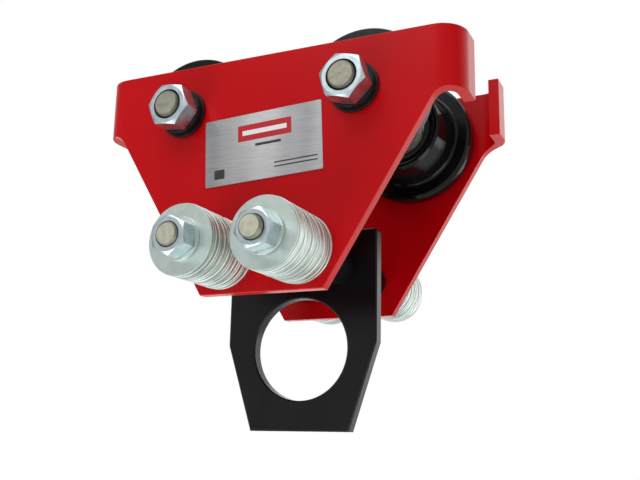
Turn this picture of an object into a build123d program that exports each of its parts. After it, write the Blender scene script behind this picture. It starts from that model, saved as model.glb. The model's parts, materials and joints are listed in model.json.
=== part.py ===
"""Push beam trolley: two bent side plates, four flanged wheels and a suspension plate.

Millimetres. X runs along the beam, Y across it, Z up. The origin is the centre of the
load eye in the suspension plate, halfway between the two side plates.
"""

import os
from math import cos, radians, sin, tan

from build123d import *

os.makedirs("parts", exist_ok=True)

# ---------------------------------------------------------------- driving dimensions
# side plates
HALF_LENGTH = 145.0          # to the outside of the bent ends
PLATE_T = 8.0
INSIDE_WIDTH = 125.4         # between the two plates
PLATE_TOP = 208.6
PLATE_BOTTOM = 32.2
END_BOTTOM = 163.4           # lower edge of the bent ends
NOTCH_X = 128.3              # where the sloping edge meets the end's lower edge
FOOT_X = 48.0                # half-width of the bottom edge
BEND_R = 19.5                # outside radius of the bent ends
END_DEPTH = 35.0             # how far the bent ends reach inwards
NOTCH_R = 16.0
FOOT_R = 12.0
PLATE_EDGE = 0.8             # rounded edge round the outer face

# axles and wheels
AXLE_X = 69.2
AXLE_Z = 171.4
AXLE_D = 20.0
AXLE_HOLE_D = 20.5
WHEEL_GAP = 5.0              # plate to the wheel's back face
FLANGE_R = 50.0
FLANGE_T = 12.0
TREAD_WIDTH = 30.0
TREAD_ROOT_R = 37.5          # the tread tapers from the flange to its free end
TREAD_END_R = 33.3
TREAD_FILLET = 3.0
BACK_RECESS_R = (28.0, 43.5)  # shallow ring turned into the wheel's back face
BACK_RECESS_T = 1.5
FACE_RECESS_R = 30.0         # shallow seat turned into the wheel's free face
FACE_RECESS_T = 1.2
BEARING_STOP_R = 20.0        # lip that the first bearing rests against

# ball bearing, two to a wheel
BEARING_D = 47.0
BEARING_BORE = 20.0
BEARING_W = 14.0
BEARINGS = 2
BALLS = 8
BALL_R = 3.95
PITCH_R = 16.75
RACE_R = BALL_R + 0.05
INNER_SHOULDER_R = 14.4
OUTER_SHOULDER_R = 19.1
BEARING_START = 14.0         # plate to the first bearing
BEARING_GAP = 0.1            # one bearing to the next
RING_EDGE = 0.6
CAGE_HALF_T = 1.4
CAGE_W = 10.4
POCKET_CLEARANCE = 0.15
SHIELD_T = 0.5
SHIELD_OFFSETS = (-6.7, 6.2)  # from the middle of the bearing

# suspension plate
LUG_T = 10.0
LUG_TOP = 88.0
LUG_SHOULDER = 4.0
LUG_BOTTOM = -60.0
LUG_HALF_TOP = 61.0
LUG_HALF_BOTTOM = 40.0
EYE_R = 38.0
LUG_TOP_CORNER_R = 2.5
LUG_CORNER_R = 5.5
LUG_EDGE = 1.0

# cross bolts and spacers
BOLT_X = 30.2
BOLT_Z = 60.0
BOLT_D = 16.0
BOLT_LENGTH = 266.5
BOLT_HOLE_D = 17.0
HEAD_T = 10.0
NUT_T = 13.0
HEX_AF = 24.0
HEX_FACE = 0.95              # end face of a hexagon over its width across flats
THREAD_MOUTH = 0.7           # chamfer at each end of a cross bolt nut's thread
HEAD_TURN = 8.0
SPACER_D = 49.0
SPACER_PITCH = 2.26
SPACER_GAP = 0.05            # one washer to the next
SPACER_DRIFT = 0.35          # how far a washer hangs off the bolt's centre
DRIFT_STEP = 137.5           # degrees from one washer's drift to the next's
THREAD_PITCH = 2.0
THREAD_DEPTH = 0.8
THREAD_GROOVE = 1.4          # width of one groove, measured along the bolt
THREADS_SHOWN = {"left": 1, "right": 2}
FRONT_COUNT = {"left": 24, "right": 23}
REAR_COUNT = 23
SEAT_WASHER_D = 30.0
SEAT_WASHER_T = 2.0
TUBE_D = 25.8

# axle fasteners
AXLE_NUT_AF = 30.0
AXLE_NUT_T = 16.0
AXLE_NUT_MOUTH = 1.3
LOCK_WASHER_D = 33.6
LOCK_WASHER_T = 5.0
FLAT_WASHER_D = 37.0
FLAT_WASHER_T = 2.5
STUD_OVER_NUT = 2.0
STUD_CHAMFER = 1.4
COLLAR_R = 18.0
COLLAR_T = 4.0
COLLAR_AF = 30.0             # two flats on the collar, for a spanner
SHOULDER_R = 14.0            # sleeve between the collar and the first bearing
CENTRE_DRILL_R = 0.9
CENTRE_DRILL_DEPTH = 0.5

# retaining rings
CLIP_T = 1.2
CLIP_GROOVE_R = AXLE_D / 2 - 0.5
CLIP_OUTER_R = 12.6
CLIP_LUG_AT_R = 13.2
CLIP_LUG_R = 2.2
CLIP_EYE_R = 0.9
CLIP_GAP = 3.0
WHEEL_CLIP_T = 1.75
WHEEL_CLIP_R = BEARING_D / 2 + 1.15
WHEEL_CLIP_BAND = 3.4
WHEEL_CLIP_LUG_AT_R = WHEEL_CLIP_R - 4.6
WHEEL_CLIP_LUG_R = 2.3
WHEEL_CLIP_EYE_R = 1.0
WHEEL_CLIP_GAP = 2.6
WHEEL_GROOVE_R = BEARING_D / 2 + 1.25
WHEEL_GROOVE_W = 1.85

# rating plate
LABEL_W = 94.0
LABEL_H = 51.0
LABEL_T = 0.6
LABEL_X = -1.3
LABEL_Z = 138.6
LABEL_TILT = 2.8             # degrees, stuck on a little crooked

# ---------------------------------------------------------------- places
INNER_Y = INSIDE_WIDTH / 2
OUTER_Y = INNER_Y + PLATE_T
WHEEL_END = WHEEL_GAP + FLANGE_T + TREAD_WIDTH
BEARING_END = BEARING_START + BEARINGS * (BEARING_W + BEARING_GAP) - BEARING_GAP
SIDES = {"front": -1, "rear": 1}
ENDS = {"left": -1, "right": 1}
NODES = []


def save(builder, name):
    """Label a finished piece and write its STEP file."""
    builder.part.label = name
    export_step(builder.part, f"parts/{name}.step")
    NODES.append(name)
    print(f"{name:34s} {len(builder.part.solids()):3d} solids")


def half_plane(x, y, z, inward):
    """A plane through an axis along Y: its x is the radius, its y runs inwards."""
    return Plane(origin=(x, y, z), x_dir=(1, 0, 0), z_dir=(0, 0, inward))


def across(x, y, z, inward):
    """A plane square to an axis along Y, facing inwards, with its y axis up."""
    return Plane(origin=(x, y, z), x_dir=(-inward, 0, 0), z_dir=(0, inward, 0))


def y_axis(x, z):
    return Axis((x, 0, z), (0, 1, 0))


def turned(points, plane, axis):
    """A closed outline in the half plane, turned round the axis."""
    with BuildPart() as piece:
        with BuildSketch(plane):
            with BuildLine():
                Polyline(*points, close=True)
            make_face()
        revolve(axis=axis)
    return piece


# ---------------------------------------------------------------- side plates
def side_plate(side):
    """One pressed plate: a flat middle, both ends bent inwards, sloping lower sides."""
    facing = Plane(origin=(0, side * OUTER_Y, PLATE_BOTTOM), x_dir=(-side, 0, 0), z_dir=(0, 0, 1))
    face_on = Plane(origin=(0, side * OUTER_Y, 0), x_dir=(side, 0, 0), z_dir=(0, -side, 0))
    bend_x = HALF_LENGTH - BEND_R
    in_x = HALF_LENGTH - PLATE_T
    in_r = BEND_R - PLATE_T
    outline = [
        (-HALF_LENGTH, PLATE_TOP), (HALF_LENGTH, PLATE_TOP),
        (HALF_LENGTH, END_BOTTOM), (NOTCH_X, END_BOTTOM),
        (FOOT_X, PLATE_BOTTOM), (-FOOT_X, PLATE_BOTTOM),
        (-NOTCH_X, END_BOTTOM), (-HALF_LENGTH, END_BOTTOM),
    ]
    with BuildPart() as plate:
        with BuildSketch(facing):
            with BuildLine():
                Line((-HALF_LENGTH, END_DEPTH), (-HALF_LENGTH, BEND_R))
                CenterArc((-bend_x, BEND_R), BEND_R, 180, 90)
                Line((-bend_x, 0), (bend_x, 0))
                CenterArc((bend_x, BEND_R), BEND_R, 270, 90)
                Line((HALF_LENGTH, BEND_R), (HALF_LENGTH, END_DEPTH))
                Line((HALF_LENGTH, END_DEPTH), (in_x, END_DEPTH))
                Line((in_x, END_DEPTH), (in_x, BEND_R))
                CenterArc((bend_x, BEND_R), in_r, 0, -90)
                Line((bend_x, PLATE_T), (-bend_x, PLATE_T))
                CenterArc((-bend_x, BEND_R), in_r, 270, -90)
                Line((-in_x, BEND_R), (-in_x, END_DEPTH))
                Line((-in_x, END_DEPTH), (-HALF_LENGTH, END_DEPTH))
            make_face()
        extrude(amount=PLATE_TOP - PLATE_BOTTOM)
        with BuildSketch(face_on) as front_view:
            with BuildLine():
                Polyline(*outline, close=True)
            make_face()
            corners = front_view.vertices()
            notch = [v for v in corners if abs(abs(v.X) - NOTCH_X) < 1 and v.Z < PLATE_TOP]
            foot = [v for v in corners if abs(abs(v.X) - FOOT_X) < 1]
            fillet(notch, NOTCH_R)
            fillet(foot, FOOT_R)
        extrude(amount=END_DEPTH + PLATE_T, mode=Mode.INTERSECT)
        holes = [(x, AXLE_Z, AXLE_HOLE_D) for x in (-AXLE_X, AXLE_X)]
        holes += [(x, BOLT_Z, BOLT_HOLE_D) for x in (-BOLT_X, BOLT_X)]
        for x, z, diameter in holes:
            with Locations(Location((x, side * (OUTER_Y - PLATE_T / 2), z), (90, 0, 0))):
                Cylinder(diameter / 2, PLATE_T * 2, mode=Mode.SUBTRACT)
        flat = plate.faces().filter_by(Axis.Y).sort_by(Axis.Y)[-1 if side > 0 else 0]
        start = [e for e in flat.outer_wire().edges() if abs(e.center().X) < bend_x - 1]
        fillet(start, PLATE_EDGE)
    return plate


for word, side in SIDES.items():
    save(side_plate(side), f"side_plate_{word}")

# ---------------------------------------------------------------- rating plate
label_dir = (cos(radians(LABEL_TILT)), 0, sin(radians(LABEL_TILT)))
label_plane = Plane(origin=(LABEL_X, -OUTER_Y, LABEL_Z), x_dir=label_dir, z_dir=(0, -1, 0))
with BuildPart() as rating_plate:
    with BuildSketch(label_plane):
        RectangleRounded(LABEL_W, LABEL_H, 1.2)
    extrude(amount=LABEL_T)
save(rating_plate, "rating_plate")

# ---------------------------------------------------------------- suspension plate
with BuildPart() as suspension_plate:
    with BuildSketch(Plane.XZ.offset(-LUG_T / 2)) as lug_face:
        with BuildLine():
            Polyline(
                (-LUG_HALF_TOP, LUG_TOP), (LUG_HALF_TOP, LUG_TOP),
                (LUG_HALF_TOP, LUG_SHOULDER), (LUG_HALF_BOTTOM, LUG_BOTTOM),
                (-LUG_HALF_BOTTOM, LUG_BOTTOM), (-LUG_HALF_TOP, LUG_SHOULDER),
                close=True,
            )
        make_face()
        corners = lug_face.vertices()
        upper = [v for v in corners if v.Y > LUG_TOP - 1]
        lower = [v for v in corners if v.Y < LUG_TOP - 1]
        fillet(upper, LUG_TOP_CORNER_R)
        fillet(lower, LUG_CORNER_R)
        Circle(EYE_R, mode=Mode.SUBTRACT)
        with Locations((-BOLT_X, BOLT_Z), (BOLT_X, BOLT_Z)):
            Circle(BOLT_HOLE_D / 2, mode=Mode.SUBTRACT)
    extrude(amount=LUG_T)
    flat_faces = suspension_plate.faces().filter_by(Axis.Y)
    chamfer(flat_faces.edges(), LUG_EDGE)
save(suspension_plate, "suspension_plate")


# ---------------------------------------------------------------- hexagon fasteners
def hexagon(plane, flats, height, turn, bore=0.0, mouth=THREAD_MOUTH, both_ends=True):
    """A hexagon standing on a plane, with its corners turned off at 30 degrees."""
    corner_r = flats / 3 ** 0.5
    side_r = flats / 2 * HEX_FACE
    bevel = (corner_r - side_r) * tan(radians(30))
    axis = Axis(plane.origin, plane.z_dir)
    section = Plane(origin=plane.origin, x_dir=plane.x_dir, z_dir=-plane.y_dir)
    foot = [(side_r, 0), (corner_r, bevel)] if both_ends else [(corner_r, 0)]
    cap = [(0, 0), *foot, (corner_r, height - bevel), (side_r, height), (0, height)]
    with BuildPart() as piece:
        with BuildSketch(plane):
            RegularPolygon(corner_r, 6, rotation=turn)
        extrude(amount=height)
        with BuildSketch(section):
            with BuildLine():
                Polyline(*cap, close=True)
            make_face()
        revolve(axis=axis, mode=Mode.INTERSECT)
        if bore:
            wide = bore + mouth
            high = height - mouth
            tool = [(0, 0), (wide, 0), (bore, mouth), (bore, high), (wide, height), (0, height)]
            with BuildSketch(section):
                with BuildLine():
                    Polyline(*tool, close=True)
                make_face()
            revolve(axis=axis, mode=Mode.SUBTRACT)
    return piece.part


def gather(pieces):
    """Several separate solids kept together in one node."""
    with BuildPart() as group:
        add(pieces)
    return group


# ---------------------------------------------------------------- cross bolts
HEAD_SEAT_Y = OUTER_Y + REAR_COUNT * SPACER_PITCH + SEAT_WASHER_T
NUT_TURN = {"left": 32.0, "right": 11.0}
THREAD_CHAMFER = 1.2


def thread_grooves(r, start, count):
    """Outline points of ring grooves a thread pitch apart, the first one at start."""
    points = []
    for i in range(count):
        low = start + THREAD_PITCH * i
        middle = low + THREAD_GROOVE / 2
        points += [(r, low), (r - THREAD_DEPTH, middle), (r, low + THREAD_GROOVE)]
    return points


def cross_bolt(x, grooves):
    """A hexagon bolt put in from the rear, its threaded end to the front."""
    r = BOLT_D / 2
    chamfer_start = BOLT_LENGTH - THREAD_CHAMFER
    thread_start = chamfer_start - grooves * THREAD_PITCH
    shank = [(0, 0), (r, 0), *thread_grooves(r, thread_start, grooves)]
    shank += [(r, chamfer_start), (r - THREAD_CHAMFER, BOLT_LENGTH), (0, BOLT_LENGTH)]
    turned_shank = turned(shank, half_plane(x, HEAD_SEAT_Y, BOLT_Z, -1), y_axis(x, BOLT_Z))
    head = hexagon(across(x, HEAD_SEAT_Y, BOLT_Z, 1), HEX_AF, HEAD_T, HEAD_TURN, both_ends=False)
    with BuildPart() as bolt:
        add(turned_shank.part)
        add(head)
    return bolt


def ring(x, y, z, outward, outer, inner, thickness, edge=0.2):
    """A flat washer whose first face is at y, growing outwards along Y."""
    points = [
        (inner, 0), (outer - edge, 0), (outer, edge), (outer, thickness - edge),
        (outer - edge, thickness), (inner, thickness),
    ]
    return turned(points, half_plane(x, y, z, outward), y_axis(x, z)).part


def spacer_stack(x, y, outward, count):
    """Flat spacer washers one after another, each its own solid."""
    blank = ring(x, y, BOLT_Z, outward, SPACER_D / 2, BOLT_HOLE_D / 2, SPACER_PITCH - SPACER_GAP, 0.3)
    with BuildPart() as stack:
        for i in range(count):
            drift = radians(i * DRIFT_STEP + x)
            across_bolt = (SPACER_DRIFT * cos(drift), SPACER_DRIFT * sin(drift))
            with Locations((across_bolt[0], outward * i * SPACER_PITCH, across_bolt[1])):
                add(blank)
    return stack


for word, end in ENDS.items():
    x = end * BOLT_X
    save(cross_bolt(x, THREADS_SHOWN[word]), f"cross_bolt_{word}")
    save(spacer_stack(x, -OUTER_Y, -1, FRONT_COUNT[word]), f"spacer_washers_front_{word}")
    save(spacer_stack(x, OUTER_Y, 1, REAR_COUNT), f"spacer_washers_rear_{word}")

seat_washers = []
bolt_nuts = []
spacer_tubes = []
tube_length = INNER_Y - LUG_T / 2
for word, end in ENDS.items():
    x = end * BOLT_X
    front_seat = -OUTER_Y - FRONT_COUNT[word] * SPACER_PITCH
    seat = {"outer": SEAT_WASHER_D / 2, "inner": BOLT_HOLE_D / 2, "thickness": SEAT_WASHER_T}
    seat_washers.append(ring(x, front_seat, BOLT_Z, -1, **seat))
    seat_washers.append(ring(x, HEAD_SEAT_Y - SEAT_WASHER_T, BOLT_Z, 1, **seat))
    nut_plane = across(x, front_seat - SEAT_WASHER_T, BOLT_Z, -1)
    bolt_nuts.append(hexagon(nut_plane, HEX_AF, NUT_T, NUT_TURN[word], bore=BOLT_D / 2))
    for start in (-INNER_Y, LUG_T / 2):
        spacer_tubes.append(ring(x, start, BOLT_Z, 1, TUBE_D / 2, BOLT_HOLE_D / 2, tube_length, 0.5))
save(gather(seat_washers), "bolt_washers")
save(gather(bolt_nuts), "bolt_nuts")
save(gather(spacer_tubes), "spacer_tubes")

# ---------------------------------------------------------------- axle fasteners
AXLE_NUT_TURN = {"left": -7.6, "right": -13.3}
NUT_SEAT = FLAT_WASHER_T + LOCK_WASHER_T
STUD_END = PLATE_T + NUT_SEAT + AXLE_NUT_T + STUD_OVER_NUT


def lock_washer(x, y, outward):
    """A split spring washer: a square-section ring with a slanting cut at the top."""
    blank = ring(x, y, AXLE_Z, outward, LOCK_WASHER_D / 2, AXLE_HOLE_D / 2, LOCK_WASHER_T)
    cut_at = (x, y + outward * LOCK_WASHER_T / 2, AXLE_Z + LOCK_WASHER_D / 2)
    with BuildPart() as washer:
        add(blank)
        with Locations(Location(cut_at, (0, 0, 35))):
            Box(1.8, LOCK_WASHER_T * 4, LOCK_WASHER_D * 0.75, mode=Mode.SUBTRACT)
    return washer.part


def axle_circlip(x, side):
    """An open retaining ring in the axle's groove, with two eyed lugs at the gap."""
    plane = across(x, side * (INNER_Y - BEARING_END - CLIP_T), AXLE_Z, side)
    with BuildPart() as clip:
        with BuildSketch(plane):
            Circle(CLIP_OUTER_R)
            with PolarLocations(CLIP_LUG_AT_R, 2, start_angle=76, angular_range=28, endpoint=True):
                Circle(CLIP_LUG_R)
            Circle(CLIP_GROOVE_R, mode=Mode.SUBTRACT)
            with Locations((0, CLIP_OUTER_R)):
                Rectangle(CLIP_GAP, CLIP_OUTER_R, mode=Mode.SUBTRACT)
            with PolarLocations(CLIP_LUG_AT_R, 2, start_angle=76, angular_range=28, endpoint=True):
                Circle(CLIP_EYE_R, mode=Mode.SUBTRACT)
        extrude(amount=CLIP_T)
    return clip.part


flat_washers = []
lock_washers = []
axle_nuts = []
axle_circlips = []
for side in SIDES.values():
    for word, end in ENDS.items():
        x = end * AXLE_X
        y = side * OUTER_Y
        flat_washers.append(
            ring(x, y, AXLE_Z, side, FLAT_WASHER_D / 2, AXLE_HOLE_D / 2, FLAT_WASHER_T)
        )
        lock_washers.append(lock_washer(x, y + side * FLAT_WASHER_T, side))
        seat = across(x, y + side * NUT_SEAT, AXLE_Z, side)
        turn = AXLE_NUT_TURN[word] * -side
        bored = {"bore": AXLE_D / 2, "mouth": AXLE_NUT_MOUTH}
        axle_nuts.append(hexagon(seat, AXLE_NUT_AF, AXLE_NUT_T, turn, **bored))
        axle_circlips.append(axle_circlip(x, side))
save(gather(flat_washers), "axle_flat_washers")
save(gather(lock_washers), "axle_lock_washers")
save(gather(axle_nuts), "axle_nuts")
save(gather(axle_circlips), "axle_circlips")


# ---------------------------------------------------------------- one wheel and its axle
def axle(x, side):
    """A shouldered stud: thread through the plate, collar, journal, circlip groove."""
    r = AXLE_D / 2
    groove_end = BEARING_END + CLIP_T
    end = groove_end + 2.3
    thread_end = STUD_CHAMFER - STUD_END
    profile = [
        (0, -STUD_END), (r - STUD_CHAMFER, -STUD_END), (r, thread_end),
        *thread_grooves(r, thread_end + THREAD_PITCH - THREAD_GROOVE, 1), (r, 0),
        (COLLAR_R, 0), (COLLAR_R, COLLAR_T), (SHOULDER_R, COLLAR_T), (SHOULDER_R, BEARING_START),
        (r, BEARING_START), (r, BEARING_END), (CLIP_GROOVE_R, BEARING_END),
        (CLIP_GROOVE_R, groove_end), (r, groove_end), (r, end - 0.8), (r - 0.8, end), (0, end),
    ]
    blank = turned(profile, half_plane(x, side * INNER_Y, AXLE_Z, -side), y_axis(x, AXLE_Z))
    tip = across(x, side * (INNER_Y + STUD_END), AXLE_Z, -side)
    with BuildPart() as piece:
        add(blank.part)
        with Locations(tip.location):
            Cone(CENTRE_DRILL_R, CENTRE_DRILL_R / 4, CENTRE_DRILL_DEPTH,
                 align=(Align.CENTER, Align.CENTER, Align.MIN), mode=Mode.SUBTRACT)
        for above in (-1, 1):
            flat_at = (x, side * (INNER_Y - COLLAR_T / 2), AXLE_Z + above * COLLAR_AF)
            with Locations(flat_at):
                Box(COLLAR_R * 2.2, COLLAR_T, COLLAR_AF, mode=Mode.SUBTRACT)
    return piece


def wheel(x, side):
    """A turned wheel: flange by the plate, tapered tread, bearing bore from the web side."""
    back = WHEEL_GAP
    face = back + FLANGE_T
    bore_r = BEARING_D / 2
    groove = BEARING_END
    groove_far = groove + WHEEL_GROOVE_W
    low, high = BACK_RECESS_R
    floor = back + BACK_RECESS_T
    seat = WHEEL_END - FACE_RECESS_T
    rim = [
        (BEARING_STOP_R, back), (low, back), (low + BACK_RECESS_T, floor),
        (high - BACK_RECESS_T, floor), (high, back),
        (FLANGE_R - 0.8, back), (FLANGE_R, back + 0.8),
        (FLANGE_R, face - 2.6), (FLANGE_R - 0.8, face - 0.9), (FLANGE_R - 2.6, face),
    ]
    fillet_points = []
    for step in range(7):
        angle = radians(90 + step * 15)
        fillet_points.append((
            TREAD_ROOT_R + TREAD_FILLET * (1 + cos(angle)),
            face + TREAD_FILLET * (1 - sin(angle)),
        ))
    tread = [
        (TREAD_END_R + 0.3, WHEEL_END - 1.8), (TREAD_END_R - 1.5, WHEEL_END),
        (FACE_RECESS_R, WHEEL_END), (FACE_RECESS_R - FACE_RECESS_T, seat),
        (WHEEL_GROOVE_R + 1.0, seat), (bore_r, seat - 1.2),
        (bore_r, groove_far), (WHEEL_GROOVE_R, groove_far), (WHEEL_GROOVE_R, groove),
        (bore_r, groove), (bore_r, BEARING_START), (BEARING_STOP_R, BEARING_START),
    ]
    points = rim + fillet_points + tread
    return turned(points, half_plane(x, side * INNER_Y, AXLE_Z, -side), y_axis(x, AXLE_Z))


def bearing_mids():
    """Distance from the plate to the middle of each bearing."""
    step = BEARING_W + BEARING_GAP
    return [BEARING_START + BEARING_W / 2 + step * i for i in range(BEARINGS)]


def race(x, side, inner_r, outer_r, shoulder_inside):
    """Both rings of one kind, each with its ball groove."""
    rings = []
    for mid in bearing_mids():
        y = side * (INNER_Y - mid)
        half = BEARING_W / 2
        soft = RING_EDGE
        if shoulder_inside:
            points = [
                (inner_r, -half), (outer_r - soft, -half), (outer_r, soft - half),
                (outer_r, half - soft), (outer_r - soft, half), (inner_r, half),
            ]
        else:
            points = [
                (inner_r, soft - half), (inner_r + soft, -half), (outer_r, -half),
                (outer_r, half), (inner_r + soft, half), (inner_r, half - soft),
            ]
        blank = turned(points, half_plane(x, y, AXLE_Z, -side), y_axis(x, AXLE_Z))
        with BuildPart() as grooved:
            add(blank.part)
            with Locations(across(x, y, AXLE_Z, side).location):
                Torus(PITCH_R, RACE_R, mode=Mode.SUBTRACT)
        rings.append(grooved.part)
    return gather(rings)


def ball_planes(x, side):
    return [across(x, side * (INNER_Y - mid), AXLE_Z, side) for mid in bearing_mids()]


def balls(x, side):
    with BuildPart(*ball_planes(x, side)) as piece:
        with PolarLocations(PITCH_R, BALLS):
            Sphere(BALL_R)
    return piece


def cages(x, side):
    """A ring round the pitch circle, with a pocket for each ball."""
    with BuildPart(*ball_planes(x, side)) as piece:
        Cylinder(PITCH_R + CAGE_HALF_T, CAGE_W)
        Cylinder(PITCH_R - CAGE_HALF_T, CAGE_W * 1.2, mode=Mode.SUBTRACT)
        with PolarLocations(PITCH_R, BALLS):
            Cylinder(BALL_R + POCKET_CLEARANCE, BALL_R * 2, rotation=(0, 90, 0), mode=Mode.SUBTRACT)
    return piece


def shields(x, side):
    """Two thin dust shields in each bearing, held by the outer ring."""
    pieces = []
    for mid in bearing_mids():
        for offset in SHIELD_OFFSETS:
            y = side * (INNER_Y - mid - offset)
            pieces.append(
                ring(x, y, AXLE_Z, -side, OUTER_SHOULDER_R, INNER_SHOULDER_R + 0.4, SHIELD_T, 0.05)
            )
    return gather(pieces)


def wheel_circlip(x, side):
    """An open retaining ring sprung into the wheel's bore, with its lugs inside."""
    plane = across(x, side * (INNER_Y - BEARING_END - WHEEL_CLIP_T), AXLE_Z, side)
    lugs = {"start_angle": -100, "angular_range": 20, "endpoint": True}
    with BuildPart() as clip:
        with BuildSketch(plane):
            Circle(WHEEL_CLIP_R)
            Circle(WHEEL_CLIP_R - WHEEL_CLIP_BAND, mode=Mode.SUBTRACT)
            with PolarLocations(WHEEL_CLIP_LUG_AT_R, 2, **lugs):
                Circle(WHEEL_CLIP_LUG_R)
            with PolarLocations(WHEEL_CLIP_LUG_AT_R, 2, **lugs):
                Circle(WHEEL_CLIP_EYE_R, mode=Mode.SUBTRACT)
            with Locations((0, -WHEEL_CLIP_R)):
                Rectangle(WHEEL_CLIP_GAP, 14.0, mode=Mode.SUBTRACT)
        extrude(amount=WHEEL_CLIP_T)
    return clip


for side_word, side in SIDES.items():
    for end_word, end in ENDS.items():
        place = f"{side_word}_{end_word}"
        x = end * AXLE_X
        save(axle(x, side), f"axle_{place}")
        save(wheel(x, side), f"wheel_{place}")
        save(race(x, side, OUTER_SHOULDER_R, BEARING_D / 2, False), f"bearing_outer_rings_{place}")
        save(race(x, side, BEARING_BORE / 2, INNER_SHOULDER_R, True), f"bearing_inner_rings_{place}")
        save(balls(x, side), f"bearing_balls_{place}")
        save(cages(x, side), f"bearing_cages_{place}")
        save(shields(x, side), f"bearing_shields_{place}")
        save(wheel_circlip(x, side), f"wheel_circlip_{place}")

print(len(NODES), "nodes")
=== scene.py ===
# %% [markdown]
# # A beam trolley, dressed for a portrait
# The trolley hangs under an I-beam on four flanged wheels. Its shapes come ready made,
# from a frame that holds every part in metres, so this lesson is about finishes, light
# and the camera. The frame could be copied and edited, but then parts would drift out
# of place, so each part keeps its shape and only receives a better finish.

# %% Load the parts
import json
from math import cos, pi, radians, sin

import bpy
from mathutils import Matrix, Vector

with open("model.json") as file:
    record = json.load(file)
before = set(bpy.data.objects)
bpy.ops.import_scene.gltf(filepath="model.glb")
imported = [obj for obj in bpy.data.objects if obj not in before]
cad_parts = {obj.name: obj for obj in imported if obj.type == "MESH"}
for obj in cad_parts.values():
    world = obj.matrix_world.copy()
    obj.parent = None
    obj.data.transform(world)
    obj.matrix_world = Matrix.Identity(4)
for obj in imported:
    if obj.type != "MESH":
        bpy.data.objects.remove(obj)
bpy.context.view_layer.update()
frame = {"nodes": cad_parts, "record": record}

parts = frame["nodes"]

# %% [markdown]
# ## Writing sums on sockets
# A finish often needs a little arithmetic, such as a ripple from a sine. Math nodes can
# be wired one at a time, but a dozen of them are hard to read. Here a small class wraps
# an output socket, so an ordinary sum in Python adds the nodes by itself.

# %% A socket that can do sums
class Wire:
    """One output socket of a finish. Sums on it add Math nodes."""

    def __init__(self, finish, socket):
        self.finish = finish
        self.socket = socket

    def maths(self, operation, first, second=0.0):
        return self.finish.node("ShaderNodeMath", {"operation": operation}, {0: first, 1: second})

    def __add__(self, other):
        return self.maths("ADD", self, other)

    __radd__ = __add__

    def __sub__(self, other):
        return self.maths("SUBTRACT", self, other)

    def __rsub__(self, other):
        return self.maths("SUBTRACT", other, self)

    def __mul__(self, other):
        return self.maths("MULTIPLY", self, other)

    __rmul__ = __mul__

    def __truediv__(self, other):
        return self.maths("DIVIDE", self, other)

    def __gt__(self, other):
        return self.maths("GREATER_THAN", self, other)

    def __lt__(self, other):
        return self.maths("LESS_THAN", self, other)

    def size(self):
        return self.maths("ABSOLUTE", self)

    def sine(self):
        return self.maths("SINE", self)

    def floor(self):
        return self.maths("FLOOR", self)

    def root(self):
        return self.maths("SQRT", self)

    def at_least(self, lowest):
        return self.maths("MAXIMUM", self, lowest)


print("sums on sockets ready")

# %% [markdown]
# ## One recipe for every finish
# Each finish is a Principled shader with something wired into it. A helper object
# keeps that short: `node` adds any kind of node, and `place` gives the point on the
# part. That point is measured in the part's own space, so a pattern stays on the part
# when it moves, and it has the real size in metres.

# %% The finish builder
class Nodes:
    """The node tree of a finish, or of the surround."""

    def __init__(self, tree):
        self.tree = tree

    def node(self, kind, settings=None, inputs=None, output=0):
        made = self.tree.nodes.new(kind)
        for key, value in (settings or {}).items():
            if key == "stops":
                ramp = made.color_ramp
                while len(ramp.elements) < len(value):
                    ramp.elements.new(0.5)
                for stop, (at, colour) in zip(ramp.elements, value):
                    stop.position = at
                    stop.color = (*colour, 1.0)
            else:
                setattr(made, key, value)
        for key, value in (inputs or {}).items():
            if isinstance(value, Wire):
                self.tree.links.new(value.socket, made.inputs[key])
            else:
                made.inputs[key].default_value = value
        return Wire(self, made.outputs[output])

    def place(self):
        return self.node("ShaderNodeTexCoord", output="Object")

    def axes(self, vector):
        split = self.tree.nodes.new("ShaderNodeSeparateXYZ")
        self.tree.links.new(vector.socket, split.inputs[0])
        return [Wire(self, out) for out in split.outputs]

    def noise(self, vector, scale, detail=3.0, roughness=0.5):
        values = {"Vector": vector, "Scale": scale, "Detail": detail, "Roughness": roughness}
        return self.node("ShaderNodeTexNoise", {}, values)

    def ramp(self, value, *stops):
        return self.node("ShaderNodeValToRGB", {"stops": stops}, {0: value})

    def grey(self, value, low, high):
        return self.node("ShaderNodeMapRange", {}, {0: value, 3: low, 4: high})

    def mix(self, factor, first, second):
        first, second = [c if isinstance(c, Wire) else (*c, 1.0) for c in (first, second)]
        inputs = {0: factor, 6: first, 7: second}
        return self.node("ShaderNodeMix", {"data_type": "RGBA"}, inputs, 2)

    def stretch(self, vector, scale):
        return self.node("ShaderNodeVectorMath", {"operation": "MULTIPLY"}, {0: vector, 1: scale})

    def facing(self):
        """The part's own surface direction, as three wires."""
        return self.axes(self.node("ShaderNodeTexCoord", output="Normal"))

    def bump(self, height, depth, strength=0.4):
        values = {"Height": height, "Distance": depth, "Strength": strength}
        return self.node("ShaderNodeBump", {}, values)


class Finish(Nodes):
    """A material under construction: constants go in first, then wires."""

    def __init__(self, name, **constants):
        self.material = bpy.data.materials.new(name)
        self.material.use_nodes = True
        super().__init__(self.material.node_tree)
        self.shader = self.tree.nodes["Principled BSDF"]
        for socket, value in constants.items():
            self.shader.inputs[socket.replace("_", " ")].default_value = value

    def feed(self, **wires):
        for socket, wire in wires.items():
            self.tree.links.new(wire.socket, self.shader.inputs[socket.replace("_", " ")])
        return self.material


finishes = {}
print("finish builder ready")
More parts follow.
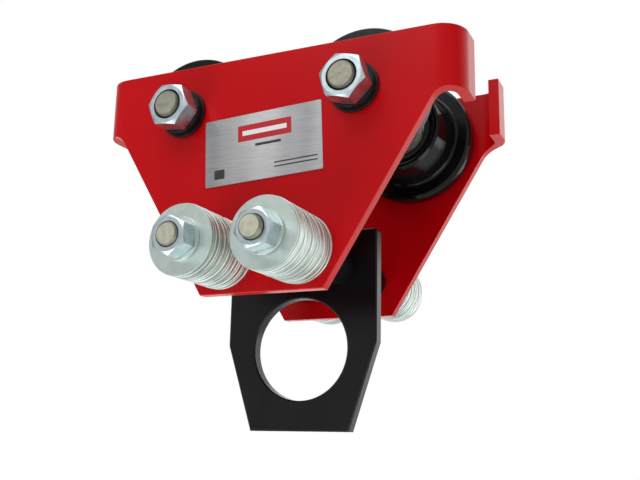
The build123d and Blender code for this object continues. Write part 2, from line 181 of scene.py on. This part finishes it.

# %% [markdown]
# ## Red enamel
# The side plates are pressed steel under thick gloss enamel. Sprayed enamel is never
# quite flat: it has a fine orange peel and slow changes of depth. Two noises, one slow
# and one fine, give both. A picture of paint would do it too, but it would blur up
# close. Faces that point down are painted paler, as painted light from below.

# %% Red enamel
# painted light from below: how far down a face must point, and how much paler it is painted
DOWN_FACING_LIMIT = -0.35
UNDERLIGHT_SHARE = 0.15


def red_enamel():
    f = Finish("red_enamel", Specular_IOR_Level=0.14)
    p = f.place()
    slow = f.noise(p, 14.0)
    peel = f.noise(p, 900.0, 2.0)
    colour = f.ramp(slow, (0.3, (0.43, 0.0006, 0.0026)), (0.7, (0.49, 0.0010, 0.0040)))
    # painted light: faces that point down are mixed towards pale salmon, as if lit from below
    painted_underlight = f.facing()[2] < DOWN_FACING_LIMIT
    colour = f.mix(painted_underlight * UNDERLIGHT_SHARE, colour, (0.85, 0.14, 0.10))
    return f.feed(Base_Color=colour, Roughness=f.grey(slow, 0.22, 0.3),
                  Normal=f.bump(peel, 0.00004))


finishes["red_enamel"] = red_enamel()
print("made", finishes["red_enamel"].name)

# %% [markdown]
# ## Black enamels
# The suspension plate, the tubes and the wheels are all black, but not the same black.
# The plate and tubes are sprayed and a little satin. The wheels were turned first, so
# fine rings from the lathe still show through their gloss.

# %% Black paints
def black_paint(name, low, high, grain):
    f = Finish(name, Specular_IOR_Level=0.27)
    p = f.place()
    cloud = f.noise(p, 40.0)
    pits = f.noise(p, grain, 3.0)
    colour = f.ramp(cloud, (0.3, (0.002, 0.0023, 0.003)), (0.75, (0.005, 0.0056, 0.0068)))
    return f.feed(Base_Color=colour, Roughness=f.grey(cloud, low, high),
                  Normal=f.bump(pits, 0.00006))


finishes["black_enamel"] = black_paint("black_enamel", 0.24, 0.36, 700.0)
finishes["black_tube"] = black_paint("black_tube", 0.3, 0.42, 700.0)

# %% Turned wheels under gloss black
AXLE_AT = (0.0692, 0.1714)
LATHE_FEED = 0.0006


def from_axis(f, out, up):
    """Distance from the axis at (out, up), the same on the left and on the right."""
    x, y, z = f.axes(f.place())
    across = x.size() - out
    above = z - up
    return (across * across + above * above).root()


def black_wheel():
    f = Finish("black_wheel", Specular_IOR_Level=0.26)
    y = f.axes(f.place())[1]
    rings = ((from_axis(f, *AXLE_AT) + y) * (2 * pi / LATHE_FEED)).sine()
    cloud = f.noise(f.place(), 55.0)
    colour = f.ramp(cloud, (0.3, (0.0018, 0.0018, 0.002)), (0.75, (0.005, 0.005, 0.0056)))
    return f.feed(Base_Color=colour, Roughness=f.grey(cloud, 0.07, 0.14),
                  Normal=f.bump(rings, 0.000012, 0.3))


finishes["black_wheel"] = black_wheel()
print("made three blacks")

# %% [markdown]
# ## Zinc plate
# The washers, nuts and bolts are bright zinc. Plated steel is a metal with a soft,
# slightly green-white shine. In a stack each washer took the plating a little
# differently, so a step along the bolt chooses a shade for each one. A painted shade
# lies in the groove where two washers meet, and the stack's sides are darker.

# %% Zinc-plated washers
SPACER_PITCH = 0.00226
PLATE_FACE = 0.0707
STACK_END = 0.1245
# share of each washer's width painted dark as shade in the groove between washers
GROOVE_SHADE_SHARE = 0.13
OTHER_STACK = 57             # moves the right stack on to other shades


def zinc_washer():
    f = Finish("zinc_washer", Metallic=1.0)
    p = f.place()
    x, y = f.axes(p)[:2]
    step = (y.size() - PLATE_FACE) / SPACER_PITCH
    seed = step.floor() + (x > 0.0) * OTHER_STACK
    shade = f.node("ShaderNodeTexWhiteNoise", {"noise_dimensions": "1D"}, {"W": seed})
    from_joint = 0.5 - ((step - step.floor()) - 0.5).size()
    rim = f.facing()[1].size() < 0.5
    # painted shade: a dark line in the groove where two washers meet, on the stack's sides only
    painted_groove_shade = (from_joint < GROOVE_SHADE_SHARE) * (y.size() < STACK_END) * rim
    cloud = f.noise(p, 120.0, 4.0)
    mixed = shade * 0.5 + cloud * 0.5
    colour = f.ramp(mixed, (0.25, (0.55, 0.64, 0.60)), (0.75, (0.82, 0.92, 0.87)))
    colour = f.mix(painted_groove_shade * 0.9, colour, (0.05, 0.047, 0.04))
    colour = f.mix(rim * 0.3, colour, (0.34, 0.33, 0.29))
    return f.feed(Base_Color=colour, Roughness=f.grey(mixed, 0.36, 0.5),
                  Normal=f.bump(cloud, 0.00002))


finishes["zinc_washer"] = zinc_washer()
print("made", finishes["zinc_washer"].name)

# %% [markdown]
# ## Nuts, bolts and studs
# The nuts have the same plate as the washers, smoother and bluer. The shadow that fills
# the mouth of each thread is painted: a dark colour inside a small radius, painted
# shade. The ends of the bolts and studs look like bare steel, and their sides and end
# chamfers are painted darker, as painted shade around the mouth of the thread.

# %% Zinc-plated nuts, bare bolt ends
THREAD_PITCH = 0.002
BOLT_AT = (0.0302, 0.06)
AXLE_MOUTH = 0.0113
BOLT_MOUTH = 0.0087


def zinc_nut():
    f = Finish("zinc_nut", Metallic=1.0)
    cloud = f.noise(f.place(), 150.0, 4.0)
    colour = f.ramp(cloud, (0.25, (0.46, 0.55, 0.59)), (0.75, (0.68, 0.79, 0.84)))
    # painted shade: inside the mouth of each thread the nut is painted near black
    mouth_shade = (from_axis(f, *AXLE_AT) < AXLE_MOUTH) + (from_axis(f, *BOLT_AT) < BOLT_MOUTH)
    colour = f.mix(mouth_shade, colour, (0.03, 0.03, 0.028))
    return f.feed(Base_Color=colour, Roughness=f.grey(cloud, 0.26, 0.38),
                  Normal=f.bump(cloud, 0.00003))


def threaded(name, dark, light):
    f = Finish(name, Metallic=1.0)
    p = f.place()
    thread = (f.axes(p)[1] * (2 * pi / THREAD_PITCH)).sine()
    # painted shade: threaded sides and the end chamfer are painted darker, the dark ring round
    # the thread's mouth
    side = f.facing()[1].size() < 0.8
    cloud = f.noise(p, 220.0, 4.0)
    colour = f.ramp(cloud, (0.25, dark), (0.75, light))
    colour = f.mix(side * 0.55, colour, (0.05, 0.048, 0.04))
    return f.feed(Base_Color=colour, Roughness=f.grey(cloud, 0.48, 0.62),
                  Normal=f.bump(thread + cloud * 0.3, 0.0004, 0.5))


finishes["zinc_nut"] = zinc_nut()
finishes["zinc_bolt"] = threaded("zinc_bolt", (0.46, 0.46, 0.36), (0.66, 0.66, 0.54))
finishes["turned_steel"] = threaded("turned_steel", (0.26, 0.25, 0.20), (0.42, 0.41, 0.33))
print("made zinc plate and steel")

# %% [markdown]
# ## Small dark and bright fittings
# The lock washers and retaining rings are oiled black steel. The bearing rings and
# balls are ground and polished, and the cage between them is moulded. These could
# share one grey, but each reflects so differently that one grey would look wrong.

# %% Black oxide, bearing steel, cage
def plain(name, dark, light, low, high, metal):
    f = Finish(name, Metallic=metal)
    cloud = f.noise(f.place(), 160.0, 4.0)
    colour = f.ramp(cloud, (0.25, dark), (0.75, light))
    return f.feed(Base_Color=colour, Roughness=f.grey(cloud, low, high),
                  Normal=f.bump(cloud, 0.00004))


# name: darkest colour, lightest colour, least rough, most rough, metal
SMALL_FITTINGS = {
    "black_oxide": ((0.010, 0.010, 0.010), (0.024, 0.024, 0.025), 0.3, 0.48, 0.6),
    "bearing_steel": ((0.55, 0.55, 0.57), (0.66, 0.66, 0.68), 0.08, 0.16, 1.0),
    "shield_steel": ((0.42, 0.42, 0.43), (0.55, 0.55, 0.56), 0.24, 0.36, 1.0),
    "cage_nylon": ((0.10, 0.10, 0.09), (0.15, 0.15, 0.14), 0.42, 0.55, 0.0),
}
for name, values in SMALL_FITTINGS.items():
    finishes[name] = plain(name, *values)
print("finishes so far:", len(finishes))

# %% [markdown]
# ## The rating plate
# A foil label is brushed along its length, and a painted highlight lightens its middle.
# The printing is only generic blocks and bars. Drawing them as steps on the label's
# own two directions keeps them sharp without any picture.

# %% Label directions
LABEL_CENTRE = (-0.0013, 0.1386)
LABEL_SIZE = (0.094, 0.051)
LABEL_TILT = radians(2.8)


def label_axes(f):
    x, y, z = f.axes(f.place())
    dx = x - LABEL_CENTRE[0]
    dz = z - LABEL_CENTRE[1]
    along = (dx * cos(LABEL_TILT) + dz * sin(LABEL_TILT)) / LABEL_SIZE[0] + 0.5
    down = 0.5 - (dz * cos(LABEL_TILT) - dx * sin(LABEL_TILT)) / LABEL_SIZE[1]
    return along, down


def block(along, down, left, top, right, bottom):
    """1 inside a rectangle given in fractions of the label, 0 outside."""
    across = (along > left) * (along < right)
    return across * (down > top) * (down < bottom)


print("label", LABEL_SIZE, "m, turned", round(LABEL_TILT, 3), "radians")

# %% Brushed foil with printed blocks
def rating_foil():
    f = Finish("rating_foil")
    p = f.place()
    along, down = label_axes(f)
    brushing = f.noise(f.stretch(p, (60.0, 60.0, 3000.0)), 1.0, 3.0)
    bands = f.noise(f.stretch(p, (38.0, 0.0, 3.0)), 1.0, 1.0)
    # painted reflection: a broad sheen in the colour, brightest near the middle of the label
    painted_sheen = (along * 6.2 - 1.2).sine()
    # brushed grain and bands, plus the painted sheen, drive the foil's colour and roughness
    grain_and_sheen = bands * 0.35 + brushing * 0.25 + painted_sheen * 0.09 + 0.2
    metal = f.ramp(grain_and_sheen, (0.36, (0.27, 0.27, 0.28)), (0.64, (0.68, 0.68, 0.69)))
    red = block(along, down, 0.29, 0.16, 0.75, 0.40)
    pale = block(along, down, 0.33, 0.245, 0.71, 0.315)
    dark = block(along, down, 0.44, 0.46, 0.66, 0.50)
    dark = dark + block(along, down, 0.60, 0.78, 0.96, 0.80)
    dark = dark + block(along, down, 0.60, 0.84, 0.96, 0.86)
    dark = dark + block(along, down, 0.08, 0.76, 0.17, 0.90)
    printed = f.mix(red, metal, (0.45, 0.006, 0.012))
    printed = f.mix(pale, printed, (0.75, 0.75, 0.75))
    printed = f.mix(dark, printed, (0.03, 0.03, 0.03))
    shine = 1.0 - (red + dark) * 0.85
    return f.feed(Base_Color=printed, Metallic=shine * 0.75, Roughness=f.grey(grain_and_sheen, 0.28, 0.42),
                  Normal=f.bump(brushing, 0.00002))


finishes["rating_foil"] = rating_foil()
print("finishes:", len(finishes))

# %% [markdown]
# ## Give each part its finish
# The record lists a finish for every part. Reading it here could be replaced by a long
# list of names, but a list would go stale when a part is renamed.

# %% Hand out the finishes
for entry in frame["record"]["subparts"]:
    part = parts[entry["node"]]
    part.data.materials.clear()
    part.data.materials.append(finishes[entry["material_slot"]])

# %% [markdown]
# ## The room
# A pale floor lies well below the trolley, as it would under a hanging hoist. It could
# lie closer, but then it would hide the lights that shine up from below.

# %% Floor
FLOOR_HEIGHT = -1.6
FLOOR_REACH = 8.0


def floor():
    mesh = bpy.data.meshes.new("floor")
    turns = [(-1, -1), (1, -1), (1, 1), (-1, 1)]
    corners = [(x * FLOOR_REACH, y * FLOOR_REACH, FLOOR_HEIGHT) for x, y in turns]
    mesh.from_pydata(corners, [], [(0, 1, 2, 3)])
    ground = bpy.data.objects.new("floor", mesh)
    bpy.context.scene.collection.objects.link(ground)
    f = Finish("pale_floor", Roughness=0.8)
    grain = f.noise(f.place(), 3.0)
    colour = f.ramp(grain, (0.3, (0.86, 0.86, 0.86)), (0.7, (0.9, 0.9, 0.9)))
    ground.data.materials.append(f.feed(Base_Color=colour))


floor()
print("floor at", FLOOR_HEIGHT, "m")

# %% [markdown]
# ## The surround
# A mirror-like metal only looks like metal if its surroundings are uneven. The surround
# is therefore brightest behind the trolley, less bright in front and below, and dim
# above. It could be a row of cards in the scene, but a sum on the direction of each ray
# does the same. Seen directly it is plain white.

# %% World
def surround():
    world = bpy.data.worlds.new("surround")
    bpy.context.scene.world = world
    world.use_nodes = True
    n = Nodes(world.node_tree)
    x, y, z = n.axes(n.node("ShaderNodeTexCoord", output="Generated"))
    behind = y.at_least(0.0)
    before = (0.0 - y).at_least(0.0)
    below = (0.0 - z).at_least(0.0)
    light = 0.30 + x * 0.05 + before * 0.4 + behind * 1.5 + below * 0.5
    seen = n.node("ShaderNodeLightPath", output="Is Camera Ray")
    strength = seen + (1.0 - seen) * light
    backdrop = n.tree.nodes["Background"]
    backdrop.inputs["Color"].default_value = (1.0, 1.0, 1.0, 1.0)
    n.tree.links.new(strength.socket, backdrop.inputs["Strength"])


surround()
bpy.context.scene.view_settings.view_transform = "Standard"
print("surround made")

# %% [markdown]
# ## Three soft lights
# A large light above and in front does most of the work. Two smaller ones from below
# lift the lower edges, which is what makes painted steel look thick. One strong lamp
# could do it, but it would burn white spots into every nut.

# %% Soft lights
TROLLEY_MIDDLE = Vector((0.0, 0.0, 0.08))


def soft_light(name, at, size, power):
    data = bpy.data.lights.new(name, "AREA")
    data.shape = "DISK"
    data.size = size
    data.energy = power
    light = bpy.data.objects.new(name, data)
    light.location = at
    light.rotation_euler = (TROLLEY_MIDDLE - Vector(at)).to_track_quat("-Z", "Y").to_euler()
    bpy.context.scene.collection.objects.link(light)


soft_light("top_light", (-0.2, -1.0, 1.5), 1.6, 15.0)
soft_light("low_light", (-0.5, -0.9, -0.9), 0.9, 6.0)
soft_light("edge_light", (1.0, -0.3, -0.85), 0.9, 5.0)
print("lights set:", len(bpy.data.lights))

# %% [markdown]
# ## The camera
# The viewer stands in front, to the right and a little below, and looks up. The camera
# could be aimed with a tracking constraint, but three angles and a place say exactly
# the same thing and never change.

# %% Camera
CAMERA_AT = Vector((0.28658, -0.59184, -0.06864))
YAW, PITCH, ROLL = 0.4335, 0.2289, 0.01931
LENS = 49.25
SENSOR_WIDTH = 36.0

forward = Vector((-sin(YAW) * cos(PITCH), cos(YAW) * cos(PITCH), sin(PITCH)))
level = Vector((cos(YAW), sin(YAW), 0.0))
upright = level.cross(forward)
right = level * cos(ROLL) + upright * sin(ROLL)
up = upright * cos(ROLL) - level * sin(ROLL)

lens = bpy.data.cameras.new("camera")
lens.lens = LENS
lens.sensor_width = SENSOR_WIDTH
camera = bpy.data.objects.new("camera", lens)
turn = Matrix((right, up, -forward)).transposed().to_4x4()
camera.matrix_world = Matrix.Translation(CAMERA_AT) @ turn
bpy.context.scene.collection.objects.link(camera)
bpy.context.scene.camera = camera
print("camera at", tuple(round(v, 3) for v in CAMERA_AT))
